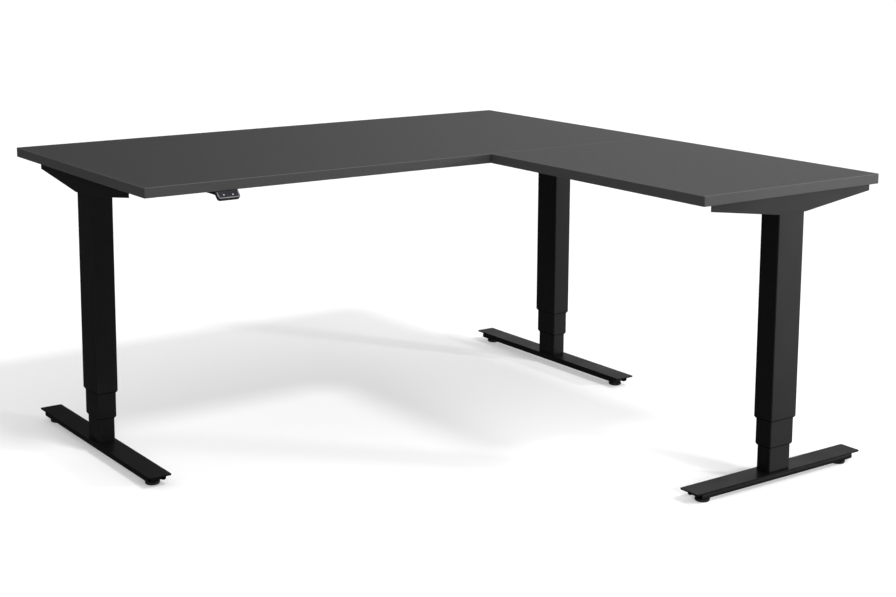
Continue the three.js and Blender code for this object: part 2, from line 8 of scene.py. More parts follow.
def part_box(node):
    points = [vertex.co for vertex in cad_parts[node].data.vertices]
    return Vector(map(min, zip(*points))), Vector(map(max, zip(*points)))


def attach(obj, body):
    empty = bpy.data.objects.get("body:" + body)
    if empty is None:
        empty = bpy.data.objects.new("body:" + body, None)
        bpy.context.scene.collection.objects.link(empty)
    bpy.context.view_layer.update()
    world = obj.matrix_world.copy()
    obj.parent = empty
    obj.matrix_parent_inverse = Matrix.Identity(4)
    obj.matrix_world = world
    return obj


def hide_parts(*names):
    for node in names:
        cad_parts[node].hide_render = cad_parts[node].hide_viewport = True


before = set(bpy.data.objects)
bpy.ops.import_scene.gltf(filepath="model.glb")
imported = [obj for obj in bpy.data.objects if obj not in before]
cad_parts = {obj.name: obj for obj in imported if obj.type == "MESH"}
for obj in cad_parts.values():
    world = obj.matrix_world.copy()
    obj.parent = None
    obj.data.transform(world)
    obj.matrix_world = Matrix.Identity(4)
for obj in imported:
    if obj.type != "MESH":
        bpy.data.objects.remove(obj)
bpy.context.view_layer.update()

MM = 0.001
IMAGE_WIDTH, IMAGE_HEIGHT = 896, 597
LEGS = ("left", "corner", "return")
TOPS = ("main", "return")
RAILS = ("main_front_rail", "main_back_rail", "return_left_rail", "return_right_rail")
WELD = 0.004 * MM
SMOOTH_BELOW = 32  # edges flatter than this many degrees shade as round
ARRIS_ABOVE = 40  # edges sharper than this many degrees get a rounded arris


# ---- The camera ----
CAMERA_PLACE = (-2.3578, -3.3666, 1.3632)
CAMERA_TURN = (35.692, 9.199, 0.343)  # yaw from +Y towards +X, pitch down and roll, in degrees
FOCAL_COLUMNS = 1606.0  # focal length as a number of image columns
AXIS_ROW = 180.0  # the image row that the optical axis meets


def add_camera():
    yaw, pitch, roll = (math.radians(a) for a in CAMERA_TURN)
    forward = Vector((
        math.sin(yaw) * math.cos(pitch),
        math.cos(yaw) * math.cos(pitch),
        -math.sin(pitch),
    ))
    level = Vector((math.cos(yaw), -math.sin(yaw), 0.0))
    lift = level.cross(forward)
    right = level * math.cos(roll) + lift * math.sin(roll)
    up = lift * math.cos(roll) - level * math.sin(roll)
    data = bpy.data.cameras.new("camera")
    data.sensor_width = 36.0
    data.lens = FOCAL_COLUMNS * data.sensor_width / IMAGE_WIDTH
    data.shift_y = (AXIS_ROW - IMAGE_HEIGHT / 2) / IMAGE_WIDTH
    data.clip_end = 200.0
    camera = bpy.data.objects.new("camera", data)
    bpy.context.scene.collection.objects.link(camera)
    turn = Matrix((right, up, -forward)).transposed().to_4x4()
    camera.matrix_world = Matrix.Translation(CAMERA_PLACE) @ turn
    bpy.context.scene.camera = camera


add_camera()


# ---- Materials ----
class Nodes:
    """A short way to wire up one material."""

    def __init__(self, name, color, roughness, metallic=0.0, specular=0.5):
        self.material = bpy.data.materials.new(name)
        self.material.use_nodes = True
        self.tree = self.material.node_tree
        self.shader = self.tree.nodes["Principled BSDF"]
        self.set(self.shader, {
            "Base Color": (*color, 1.0),
            "Roughness": roughness,
            "Metallic": metallic,
            "Specular IOR Level": specular,
        })
        self.place = self.add("ShaderNodeTexCoord").outputs["Object"]

    def set(self, node, values):
        for key, value in values.items():
            node.inputs[key].default_value = value

    def add(self, kind, values=None, **properties):
        node = self.tree.nodes.new(kind)
        for key, value in properties.items():
            setattr(node, key, value)
        self.set(node, values or {})
        return node

    def link(self, source, node, socket):
        self.tree.links.new(source, node.inputs[socket])

    def stretched(self, scale):
        mapping = self.add("ShaderNodeMapping", {"Scale": scale})
        self.link(self.place, mapping, "Vector")
        return mapping.outputs["Vector"]

    def noise(self, scale, detail=3.0, stretch=None):
        node = self.add("ShaderNodeTexNoise", {"Scale": scale, "Detail": detail})
        self.link(self.stretched(stretch) if stretch else self.place, node, "Vector")
        return node.outputs["Fac"]

    def scaled(self, source, low, high, from_low=0.3, from_high=0.7):
        """Carries a source from one range to another. A noise keeps mostly to 0.3 to 0.7."""
        node = self.add("ShaderNodeMapRange", {
            "From Min": from_low, "From Max": from_high, "To Min": low, "To Max": high,
        })
        self.link(source, node, "Value")
        return node.outputs["Result"]

    def tint(self, source, dark, light):
        node = self.add("ShaderNodeMix", data_type="RGBA")
        node.inputs[6].default_value = (*dark, 1.0)
        node.inputs[7].default_value = (*light, 1.0)
        self.tree.links.new(self.scaled(source, 0.0, 1.0), node.inputs[0])
        return node.outputs[2]

    def blend_colors(self, mask, first, second):
        node = self.add("ShaderNodeMix", data_type="RGBA")
        self.tree.links.new(first, node.inputs[6])
        self.tree.links.new(second, node.inputs[7])
        self.tree.links.new(mask, node.inputs[0])
        return node.outputs[2]

    def bump(self, heights):
        """heights: (source, strength, distance in metres), from the broadest to the finest."""
        normal = None
        for source, strength, distance in heights:
            node = self.add("ShaderNodeBump", {"Strength": strength, "Distance": distance})
            self.link(source, node, "Height")
            if normal:
                self.link(normal, node, "Normal")
            normal = node.outputs["Normal"]
        self.link(normal, self.shader, "Normal")


def grey(value):
    return (value, value, value)


def laminate_material():
    """Matt graphite melamine: a fine pearl texture with a faint cloudiness."""
    m = Nodes("graphite_laminate", grey(0.045), 0.5, specular=0.4)
    cloud = m.tint(m.noise(2.3, 4.0), grey(0.0435), grey(0.0465))
    fleck = m.tint(m.noise(900.0, 2.0), grey(0.035), grey(0.055))
    mask = m.scaled(m.noise(260.0), 0.25, 0.75)
    m.link(m.blend_colors(mask, cloud, fleck), m.shader, "Base Color")
    m.link(m.scaled(m.noise(60.0, 3.0), 0.475, 0.505), m.shader, "Roughness")
    m.bump([(m.noise(380.0, 2.0), 0.10, 0.0002), (m.noise(1500.0, 2.0), 0.12, 0.0001)])
    return m.material


HIGHLIGHT_FROM, HIGHLIGHT_FULL = 1.3 * MM, 0.7 * MM  # where the painted highlight on the top arris begins and where it is full, below the band's top


def edging_material():
    """Edge banding: the laminate's grey with faint drag marks, and a paler top arris that is a
    painted highlight.
    """
    m = Nodes("graphite_edging", grey(0.040), 0.45, specular=0.35)
    drag = m.noise(40.0, 3.0, stretch=(0.4, 0.4, 60.0))
    face = m.tint(drag, grey(0.036), grey(0.044))
    # A lighter tone painted only on the top arris, by height: a painted highlight along the edge,
    # not a trimmed or scraped mark.
    arris_highlight = m.tint(m.noise(220.0), grey(0.075), grey(0.095))
    separate = m.add("ShaderNodeSeparateXYZ")
    m.link(m.place, separate, "Vector")
    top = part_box("main_edge_band")[1].z
    arris = m.scaled(separate.outputs["Z"], 0.0, 1.0, top - HIGHLIGHT_FROM, top - HIGHLIGHT_FULL)
    m.link(m.blend_colors(arris, face, arris_highlight), m.shader, "Base Color")
    m.link(m.scaled(m.noise(6.0, 4.0), 0.40, 0.50), m.shader, "Roughness")
    m.bump([(drag, 0.10, 0.0002), (m.noise(1100.0, 2.0), 0.12, 0.0001)])
    return m.material


def powder_coat_material(name, specular):
    """Fine-textured black powder coat with an orange-peel skin."""
    m = Nodes(name, grey(0.003), 0.4, specular=specular)
    skin = m.noise(620.0, 2.0)
    m.link(m.tint(skin, grey(0.0022), grey(0.0045)), m.shader, "Base Color")
    m.link(m.scaled(m.noise(9.0, 5.0), 0.32, 0.42), m.shader, "Roughness")
    m.bump([(m.noise(240.0, 2.0), 0.25, 0.0003), (skin, 0.35, 0.00015)])
    return m.material


def plastic_material(name, value, roughness, grain=900.0, strength=0.2, specular=0.45):
    """Moulded plastic with a fine spark-eroded grain."""
    m = Nodes(name, grey(value), roughness, specular=specular)
    mottle = m.tint(m.noise(35.0, 4.0), grey(value * 0.85), grey(value * 1.15))
    m.link(mottle, m.shader, "Base Color")
    m.link(m.scaled(m.noise(18.0, 4.0), roughness - 0.05, roughness + 0.07), m.shader, "Roughness")
    m.bump([(m.noise(grain, 2.0), strength, 0.00012)])
    return m.material


def keypad_material():
    m = Nodes("charcoal_keypad", (0.014, 0.012, 0.018), 0.45, specular=0.4)
    grain = m.noise(1300.0, 2.0)
    m.link(m.tint(grain, (0.011, 0.0095, 0.015), (0.018, 0.0155, 0.023)), m.shader, "Base Color")
    m.link(m.scaled(m.noise(60.0), 0.40, 0.52), m.shader, "Roughness")
    m.bump([(grain, 0.15, 0.0001)])
    return m.material


def silver_material():
    m = Nodes("silver_paint", grey(0.42), 0.32, metallic=0.7)
    flake = m.noise(2600.0, 1.0)
    m.link(m.tint(flake, (0.34, 0.34, 0.37), (0.52, 0.52, 0.55)), m.shader, "Base Color")
    m.link(m.scaled(m.noise(90.0), 0.27, 0.38), m.shader, "Roughness")
    m.bump([(flake, 0.10, 0.00008)])
    return m.material


def steel_material(name, value=0.5, roughness=0.34, stretch=(1.0, 1.0, 0.03)):
    """Zinc-plated steel with turning or drawing marks and patchy dulling."""
    m = Nodes(name, grey(value), roughness, metallic=1.0)
    marks = m.noise(700.0, 3.0, stretch=stretch)
    m.link(m.tint(m.noise(22.0, 5.0), grey(value * 0.8), grey(value * 1.1)), m.shader, "Base Color")
    m.link(m.scaled(marks, roughness - 0.08, roughness + 0.12), m.shader, "Roughness")
    m.bump([(marks, 0.15, 0.0001)])
    return m.material


def print_material():
    m = Nodes("white_print", grey(0.5), 0.5)
    m.link(m.tint(m.noise(800.0), grey(0.45), grey(0.55)), m.shader, "Base Color")
    m.link(m.scaled(m.noise(300.0), 0.45, 0.60), m.shader, "Roughness")
    m.bump([(m.noise(2000.0), 0.1, 0.00005)])
    return m.material


def floor_material():
    """Plain white studio floor, lifted a little so that shadows stay soft."""
    m = Nodes("pale_floor", grey(0.7), 0.9, specular=0.05)
    m.link(m.tint(m.noise(1.2, 3.0), grey(0.695), grey(0.705)), m.shader, "Base Color")
    m.set(m.shader, {"Emission Color": (1, 1, 1, 1), "Emission Strength": 0.3})
    return m.material


LAMINATE = laminate_material()
EDGING = edging_material()
POWDER = powder_coat_material("black_powder_coat", 0.3)
FOOT_POWDER = powder_coat_material("matt_powder_coat", 0.16)
BLACK_PLASTIC = plastic_material("black_plastic", 0.012, 0.42)
# Near-black, dead-matt plastic. The collars are real plastic guides, but their near-black is partly
# painted shade: it stands for the shade lines under each tube step. The lead clips share this
# material.
COLLAR_PLASTIC = plastic_material("collar_plastic", 0.002, 0.8, 500.0, 0.1, specular=0.1)
GLIDE_PLASTIC = plastic_material("glide_plastic", 0.009, 0.55, grain=600.0)
LEAD_JACKET = plastic_material("lead_jacket", 0.010, 0.5, grain=500.0, strength=0.15)
KEYPAD = keypad_material()
SILVER = silver_material()
STEEL = steel_material("zinc_steel")
SCREW_STEEL = steel_material("screw_steel", 0.42, 0.3, stretch=(1.0, 1.0, 1.0))
BLACK_BOLT = plastic_material("black_bolt", 0.014, 0.38, grain=700.0)
PRINT = print_material()


# ---- Carried-over CAD nodes: rounded arrises, smooth round faces, materials ----
def soften_group():
    """Drops a CAD mesh's faceted normals, welds it and shades it smooth except at real corners."""
    group = bpy.data.node_groups.new("soften", "GeometryNodeTree")
    group.interface.new_socket("Geometry", in_out="INPUT", socket_type="NodeSocketGeometry")
    group.interface.new_socket("Geometry", in_out="OUTPUT", socket_type="NodeSocketGeometry")
    nodes, links = group.nodes, group.links
    start = nodes.new("NodeGroupInput")
    end = nodes.new("NodeGroupOutput")
    plain = nodes.new("GeometryNodeRemoveAttribute")
    plain.inputs["Name"].default_value = "custom_normal"
    weld = nodes.new("GeometryNodeMergeByDistance")
    weld.inputs["Distance"].default_value = WELD
    faces = nodes.new("GeometryNodeSetShadeSmooth")
    edges = nodes.new("GeometryNodeSetShadeSmooth")
    edges.domain = "EDGE"
    angle = nodes.new("GeometryNodeInputMeshEdgeAngle")
    flat = nodes.new("FunctionNodeCompare")
    flat.operation = "LESS_THAN"
    flat.inputs[1].default_value = math.radians(SMOOTH_BELOW)
    links.new(start.outputs[0], plain.inputs["Geometry"])
    links.new(plain.outputs["Geometry"], weld.inputs["Geometry"])
    links.new(weld.outputs["Geometry"], faces.inputs["Geometry"])
    links.new(faces.outputs["Geometry"], edges.inputs["Geometry"])
    links.new(angle.outputs["Unsigned Angle"], flat.inputs[0])
    links.new(flat.outputs[0], edges.inputs["Shade Smooth"])
    links.new(edges.outputs["Geometry"], end.inputs[0])
    return group


SOFTEN = soften_group()


def soften_edges(piece, width):
    bevel = piece.modifiers.new("arris", "BEVEL")
    bevel.width, bevel.segments = width, 2
    bevel.limit_method, bevel.angle_limit = "ANGLE", math.radians(ARRIS_ABOVE)
    flatten_faces(piece)


def flatten_faces(piece):
    """Gives the large faces their own flat normals, so only the rounded corners shade as round."""
    weighted = piece.modifiers.new("flat_faces", "WEIGHTED_NORMAL")
    weighted.mode = "FACE_AREA"
    weighted.weight = 80
    weighted.keep_sharp = True


def finish_node(name, material, arris_mm):
    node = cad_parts[name]
    node.data.materials.clear()
    node.data.materials.append(material)
    node.modifiers.new("soften", "NODES").node_group = SOFTEN
    if arris_mm:
        soften_edges(node, arris_mm * MM)
    else:
        flatten_faces(node)


# The material and the arris width in mm of every CAD node, by the ending of its name.
LOOKS = {
    "desktop": (LAMINATE, 0.0),
    "foot": (FOOT_POWDER, 0.5),
    "inner_tube": (POWDER, 0.3),
    "middle_tube": (POWDER, 0.3),
    "outer_tube": (POWDER, 0.3),
    "support_arm": (POWDER, 1.0),
    "rail": (POWDER, 0.5),
    "seam_plate": (POWDER, 0.4),
    # Collars: real plastic lips, darkened as painted shade under the tube steps.
    "collar": (COLLAR_PLASTIC, 0.3),
    "nut_tube": (STEEL, 0.2),
    "screw_sleeve": (STEEL, 0.2),
    "lead_screw": (STEEL, 0.2),
    "motor": (STEEL, 0.5),
    "glide_a": (GLIDE_PLASTIC, 0.0),
    "glide_b": (GLIDE_PLASTIC, 0.0),
    "control_box_body": (BLACK_PLASTIC, 0.6),
    "control_box_lid": (BLACK_PLASTIC, 0.4),
    "mains_inlet": (BLACK_PLASTIC, 0.4),
    "handset_housing": (BLACK_PLASTIC, 0.7),
    "handset_trim": (SILVER, 0.35),
    "button": (KEYPAD, 0.5),
    "lead": (LEAD_JACKET, 0.0),
    "edge_band": (EDGING, 0.0),
}


def finish_nodes():
    for name in sorted(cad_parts):
        ending = max((key for key in LOOKS if name.endswith(key)), key=len)
        finish_node(name, *LOOKS[ending])


finish_nodes()


# ---- Making pieces ----
def add_piece(name, mesh, material, body):
    mesh.materials.append(material)
    piece = bpy.data.objects.new(name, mesh)
    bpy.context.scene.collection.objects.link(piece)
    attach(piece, body)
    return piece


def mesh_from(name, vertices, faces):
    mesh = bpy.data.meshes.new(name)
    mesh.from_pydata(vertices, [], faces)
    bm = bmesh.new()
    bm.from_mesh(mesh)
    bmesh.ops.remove_doubles(bm, verts=bm.verts, dist=0.001 * MM)
    bmesh.ops.recalc_face_normals(bm, faces=bm.faces)
    bm.to_mesh(mesh)
    bm.free()
    mesh.shade_smooth()
    mesh.set_sharp_from_angle(angle=math.radians(SMOOTH_BELOW))
    return mesh


def lofted(loops, closed_ends=True):
    """Skins loops of equally many points. A loop of one point is a tip."""
    vertices, faces, rows = [], [], []
    for loop in loops:
        rows.append(range(len(vertices), len(vertices) + len(loop)))
        vertices += [tuple(point) for point in loop]
    count = max(len(row) for row in rows)
    for low, high in zip(rows, rows[1:]):
        for i in range(count):
            j = (i + 1) % count
            below = [low[i % len(low)], low[j % len(low)]]
            above = [high[j % len(high)], high[i % len(high)]]
            faces.append(list(dict.fromkeys(below + above)))
    if closed_ends:
        faces += [list(row) for row in (rows[0], rows[-1]) if len(row) > 2]
    return vertices, faces


def ring(radius, height, flats=0, sides=24):
    """A circle round the Z axis, or a polygon of that corner radius where flats are given."""
    points = []
    for i in range(sides):
        angle = 2 * math.pi * i / sides
        r = radius
        if flats:
            half = math.pi / flats
            r *= math.cos(half) / math.cos(angle % (2 * half) - half)
        points.append(Vector((r * math.cos(angle), r * math.sin(angle), height)))
    return points


def placed(part, spot, toward=(0, 0, 1)):
    vertices, faces = part
    turn = Vector((0, 0, 1)).rotation_difference(Vector(toward)).to_matrix()
    return [tuple(turn @ Vector(v) + Vector(spot)) for v in vertices], faces


def merged(parts):
    vertices, faces = [], []
    for part_vertices, part_faces in parts:
        start = len(vertices)
        vertices += part_vertices
        faces += [[start + i for i in face] for face in part_faces]
    return vertices, faces


def screw_head(radius, height):
    """A low cylindrical head with a rounded rim and a hexagonal socket."""
    socket, depth = 0.52 * radius, 0.6 * height
    return lofted([
        ring(radius, 0),
        ring(radius, 0.7 * height),
        ring(0.95 * radius, 0.9 * height),
        ring(0.84 * radius, height),
        ring(socket, height, flats=6),
        ring(socket, height - depth, flats=6),
        [(0, 0, height - depth)],
    ])


def folded_strip(stations, width, origin, along):
    """A bent strip. Stations are pairs of (distance along, height) on its two faces."""
    along = Vector(along)
    side = Vector((-along.y, along.x, 0)) * (width / 2)
    loops = []
    for outer, inner in stations:
        edge = [Vector(origin) + along * u + Vector((0, 0, v)) for u, v in (outer, inner)]
        loops.append([edge[0] - side, edge[1] - side, edge[1] + side, edge[0] + side])
    return lofted(loops)


def slab(outline, low, high):
    """An upright block over a convex outline of (x, y)."""
    return lofted([[(x, y, z) for x, y in outline] for z in (low, high)])


# ---- Edge banding with rounded arrises ----
TOP_CORNER = 3 * MM
BAND_ARRIS = 1.2 * MM
ARRIS_STEPS = 4


def rounded_path(low, high, radius, inset, steps=6):
    """The outline of a rounded rectangle, set in from its edge."""
    points = []
    r = max(radius - inset, 0.0)
    for corner in range(4):
        cx = high[0] - radius if corner in (0, 3) else low[0] + radius
        cy = high[1] - radius if corner in (0, 1) else low[1] + radius
        for step in range(steps + 1):
            angle = (corner + step / steps) * math.pi / 2
            points.append((cx + r * math.cos(angle), cy + r * math.sin(angle)))
    return points


def add_edge_band(top):
    node = f"{top}_edge_band"
    low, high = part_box(node)
    inner_low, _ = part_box(f"{top}_desktop")
    thickness = inner_low.x - low.x
    arris = BAND_ARRIS
    quarter = [math.pi / 2 * i / ARRIS_STEPS for i in range(ARRIS_STEPS + 1)]
    lower = [(arris - arris * math.sin(a), low.z + arris - arris * math.cos(a)) for a in quarter]
    upper = [(arris - arris * math.cos(a), high.z - arris + arris * math.sin(a)) for a in quarter]
    profile = [(thickness, low.z), *lower, *upper, (thickness, high.z)]
    vertices, faces = [], []
    for inset, z in profile:
        vertices += [(x, y, z) for x, y in rounded_path(low, high, TOP_CORNER, inset)]
    count = len(vertices) // len(profile)
    for row in range(len(profile)):
        start, after = row * count, (row + 1) % len(profile) * count
        for i in range(count):
            j = (i + 1) % count
            faces.append([start + i, start + j, after + j, after + i])
    mesh = mesh_from(f"{top}_banding", vertices, faces)
    band = add_piece(f"{top}_banding", mesh, EDGING, "top")
    flatten_faces(band)
    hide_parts(node)


for top in TOPS:
    add_edge_band(top)


# ---- Handset arrows ----
CAP_FACE = 1.85 * MM  # from a button's middle out to its face
ARROW = (2.6 * MM, 1.9 * MM, 0.12 * MM)  # half width, half height and thickness
ARROW_SUNK = 0.05 * MM


def add_arrows():
    """One small printed arrow on each button."""
    normal = Vector((0, -1, 1)).normalized()
    up_face = Vector((0, 1, 1)).normalized()
    across = Vector((1, 0, 0))
    half_width, half_height, thickness = ARROW
    for button, sign in (("down_button", -1), ("up_button", 1)):
        low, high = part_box(button)
        middle = (low + high) / 2
        face = middle + normal * CAP_FACE
        corners = [
            across * -half_width - up_face * (sign * half_height),
            across * half_width - up_face * (sign * half_height),
            up_face * (sign * half_height),
        ]
        if sign < 0:
            corners.reverse()
        base = [face + c - normal * ARROW_SUNK for c in corners]
        top_ring = [face + c + normal * thickness for c in corners]
        sides = [[i, (i + 1) % 3, 3 + (i + 1) % 3, 3 + i] for i in range(3)]
        faces = [[0, 2, 1], [3, 4, 5]] + sides
        mesh = mesh_from(f"{button}_arrow", [tuple(v) for v in base + top_ring], faces)
        add_piece(f"{button}_arrow", mesh, PRINT, button)


add_arrows()


# ---- Screws that hold the frame to the tops ----
# Screw heads: radius and height.
WOOD_SCREW = (4.6 * MM, 2.6 * MM)
ARM_BOLT = (6 * MM, 4 * MM)
PLATE_SCREW = (4.2 * MM, 2.2 * MM)
BRACKET_BOLT = (4.2 * MM, 2.6 * MM)
CLIP_SCREW = (2.0 * MM, 1.2 * MM)
EAR_SCREW = (4.2 * MM, 2.4 * MM)
LID_SCREW = (3 * MM, 1.6 * MM)
FOOT_BOLT = (5.5 * MM, 4 * MM)
HANDSET_SCREW = (3.6 * MM, 2 * MM)

RAIL_SHEET = 2 * MM
ARM_CEILING = 3 * MM  # thickness of an arm's upper wall
ARM_SCREWS_ALONG = (-235, -150, 150, 235)  # all from the column, in mm
ARM_BOLTS_ALONG = (-66, 66)
ARM_BOLTS_ACROSS = (-16, 16)
RAIL_SCREW_MARGIN = 90 * MM
PLATE_INSET_X = 11 * MM
PLATE_INSETS_Y = (12 * MM, 40 * MM)


def long_axis(low, high):
    """0 where a box is longest along X, 1 where it is longest along Y."""
    return 0 if high.x - low.x > high.y - low.y else 1


def spread(low, high, count, margin):
    step = (high - low - 2 * margin) / (count - 1)
    return [low + margin + step * i for i in range(count)]


def add_heads(name, spots, head, material, body):
    """Screw heads that face downwards."""
    heads = merged([placed(screw_head(*head), spot, (0, 0, -1)) for spot in spots])
    add_piece(name, mesh_from(name, *heads), material, body)


def add_rail_screws():
    spots = []
    for rail in RAILS:
        low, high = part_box(rail)
        middle = (low + high) / 2
        lengthwise = long_axis(low, high)
        count = 5 if lengthwise == 0 else 4
        for place in spread(low[lengthwise], high[lengthwise], count, RAIL_SCREW_MARGIN):
            spot = Vector((middle.x, middle.y, high.z - RAIL_SHEET))
            spot[lengthwise] = place
            spots.append(spot)
    add_heads("rail_screws", spots, WOOD_SCREW, SCREW_STEEL, "top")


def add_arm_screws():
    """Four wood screws up through each arm's ceiling, and two bolts on each side of the column."""
    for leg in LEGS:
        low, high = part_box(f"{leg}_support_arm")
        middle = (low + high) / 2
        lengthwise = long_axis(low, high)
        ceiling = high.z - ARM_CEILING
        screws, bolts = [], []
        for offset in ARM_SCREWS_ALONG:
            spot = Vector((middle.x, middle.y, ceiling))
            spot[lengthwise] += offset * MM
            screws.append(spot)
        for offset in ARM_BOLTS_ALONG:
            for side in ARM_BOLTS_ACROSS:
                spot = Vector((middle.x, middle.y, ceiling))
                spot[lengthwise] += offset * MM
                spot[1 - lengthwise] += side * MM
                bolts.append(spot)
        add_heads(f"{leg}_arm_screws", screws, WOOD_SCREW, SCREW_STEEL, "top")
        add_heads(f"{leg}_arm_bolts", bolts, ARM_BOLT, BLACK_BOLT, "top")


def add_plate_screws():
    spots = []
    for plate in ("inner_seam_plate", "outer_seam_plate"):
        low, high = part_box(plate)
        near, far = PLATE_INSETS_Y
        for x in (low.x + PLATE_INSET_X, high.x - PLATE_INSET_X):
            for y in (low.y + near, low.y + far, high.y - far, high.y - near):
                spots.append((x, y, low.z))
    add_heads("seam_plate_screws", spots, PLATE_SCREW, SCREW_STEEL, "top")


# ---- Angle brackets at the rails' ends ----
BRACKET_SHEET = 2 * MM
BRACKET_REACH = 26 * MM  # along the rail
BRACKET_DROP = 23 * MM  # down the arm
BRACKET_WIDTH = 30 * MM
BRACKET_HOLES_ACROSS = (-8, 8)  # in mm
BRACKET_HOLE_ALONG = 16 * MM
BRACKET_HOLE_DOWN = 14 * MM
FIT = 0.3 * MM  # gap between parts that are bolted together


def add_rail_brackets():
    stations = [
        ((0, -BRACKET_DROP), (BRACKET_SHEET, -BRACKET_DROP)),
        ((0, 0), (BRACKET_SHEET, -BRACKET_SHEET)),
        ((BRACKET_REACH, 0), (BRACKET_REACH, -BRACKET_SHEET)),
    ]
    strips, web_bolts, side_bolts, side_ways = [], [], [], []
    for rail in RAILS:
        low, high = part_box(rail)
        lengthwise = long_axis(low, high)
        for end, sign in ((low, 1), (high, -1)):
            along = Vector((0, 0, 0))
            along[lengthwise] = sign
            origin = (low + high) / 2
            origin[lengthwise] = end[lengthwise] - FIT * sign
            origin.z = high.z - RAIL_SHEET
            strips.append(folded_strip(stations, BRACKET_WIDTH, origin, along))
            for side in BRACKET_HOLES_ACROSS:
                hole = origin + Vector((-along.y, along.x, 0)) * (side * MM)
                web_bolts.append(hole + along * BRACKET_HOLE_ALONG - Vector((0, 0, BRACKET_SHEET)))
                side_bolts.append(hole + along * BRACKET_SHEET - Vector((0, 0, BRACKET_HOLE_DOWN)))
                side_ways.append(along)
    mesh = mesh_from("rail_brackets", *merged(strips))
    brackets = add_piece("rail_brackets", mesh, POWDER, "top")
    soften_edges(brackets, 0.4 * MM)
    add_heads("bracket_web_bolts", web_bolts, BRACKET_BOLT, BLACK_BOLT, "top")
    heads = [placed(screw_head(*BRACKET_BOLT), *bolt) for bolt in zip(side_bolts, side_ways)]
    mesh = mesh_from("bracket_side_bolts", *merged(heads))
    add_piece("bracket_side_bolts", mesh, BLACK_BOLT, "top")


# ---- The leads' saddle clips and strain reliefs ----
LEAD_RADIUS = 2.5 * MM
LEAD_Z = (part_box("left_motor_lead")[0].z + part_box("left_motor_lead")[1].z) / 2
CLIP_WALL = 1.2 * MM
CLIP_REACH = 9 * MM  # from the lead's middle to the end of each foot
CLIP_RISE = 7.8 * MM  # from the lead's middle up to the underside of the tops
CLIP_WIDTH = 7 * MM
CLIP_PLAY = 0.2 * MM
CLIP_CLEARANCE = 10 * MM  # from a rail
CLIP_SCREW_SIDE = 6.4  # in mm from the lead's middle
CLIP_SCREW_RISE = 6.6 * MM
HANDSET_LEAD_TURN = 120 * MM  # from the control box to where the handset's lead turns


def saddle(spot, across):
    """A saddle clip: two feet on the underside of the top and a loop round the lead."""
    inner = LEAD_RADIUS + CLIP_PLAY
    outer = inner + CLIP_WALL
    sole, top = CLIP_RISE - CLIP_WALL, CLIP_RISE
    left = [((-CLIP_REACH, sole), (-CLIP_REACH, top)), ((-outer, sole), (-inner, top))]
    loop = []
    for step in range(9):
        angle = math.pi + math.pi * step / 8
        loop.append(tuple((r * math.cos(angle), r * math.sin(angle)) for r in (outer, inner)))
    right = [tuple((-u, v) for u, v in pair) for pair in reversed(left)]
    return folded_strip(left + loop + right, CLIP_WIDTH, spot, across)


def add_lead_clips():
    box_low, box_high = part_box("control_box_body")
    handset_low, handset_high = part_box("handset_lead")
    return_low, return_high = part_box("return_motor_lead")
    rail_low, rail_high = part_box("main_front_rail")
    centre_y = (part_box("left_motor_lead")[0].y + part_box("left_motor_lead")[1].y) / 2
    left_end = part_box("left_motor_lead")[0].x
    corner_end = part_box("corner_motor_lead")[1].x
    handset_x, box_x = handset_low.x + LEAD_RADIUS, handset_high.x - LEAD_RADIUS
    cross_y = box_low.y - HANDSET_LEAD_TURN
    return_x = return_high.x - LEAD_RADIUS
    along_x, along_y = (1, 0, 0), (0, 1, 0)
    places = [((x, centre_y), along_y) for x in spread(left_end, box_low.x, 4, 90 * MM)]
    places += [((x, centre_y), along_y) for x in spread(box_high.x, corner_end, 3, 80 * MM)]
    # No clip sits where the return's lead passes the front rail.
    places += [((return_x, y), along_x) for y in spread(return_low.y, box_low.y, 6, 110 * MM)
               if y < rail_low.y - CLIP_CLEARANCE or y > rail_high.y + CLIP_CLEARANCE]
    places += [((x, cross_y), along_y) for x in spread(handset_x, box_x, 4, 70 * MM)]
    places += [((handset_x, y), along_x) for y in spread(handset_low.y, cross_y, 2, 45 * MM)]
    clips, spots = [], []
    for (x, y), across in places:
        clips.append(saddle(Vector((x, y, LEAD_Z)), across))
        for side in (-CLIP_SCREW_SIDE, CLIP_SCREW_SIDE):
            spots.append(Vector((x, y, LEAD_Z + CLIP_SCREW_RISE)) + Vector(across) * (side * MM))
    mesh = mesh_from("lead_clips", *merged(clips))
    add_piece("lead_clips", mesh, COLLAR_PLASTIC, "top")
    add_heads("lead_clip_screws", spots, CLIP_SCREW, SCREW_STEEL, "top")


RELIEF_COLLAR = (4.6 * MM, 2.2 * MM)  # radius and height
RELIEF_RIBS = 5
RELIEF_PITCH = 2.4  # in mm, as the two below
RELIEF_FIRST_RADIUS = 4.1
RELIEF_THINNING = 0.22  # from one rib to the next
RELIEF_GROOVE = 3.1 * MM  # radius between the ribs
RELIEF_LENGTH = 14.6 * MM


def strain_relief():
    """A ribbed sleeve that thins away from the housing."""
    radius, height = RELIEF_COLLAR
    loops = [ring(radius, 0), ring(radius, height)]
    for rib in range(RELIEF_RIBS):
        start = height + RELIEF_PITCH * rib * MM
        crest = (RELIEF_FIRST_RADIUS - RELIEF_THINNING * rib) * MM
        loops += [
            ring(RELIEF_GROOVE, start + 0.2 * MM),
            ring(RELIEF_GROOVE, start + 0.9 * MM),
            ring(crest, start + 1.1 * MM),
            ring(crest, start + 2.2 * MM),
        ]
    loops.append(ring(LEAD_RADIUS, RELIEF_LENGTH))
    return lofted(loops, closed_ends=False)


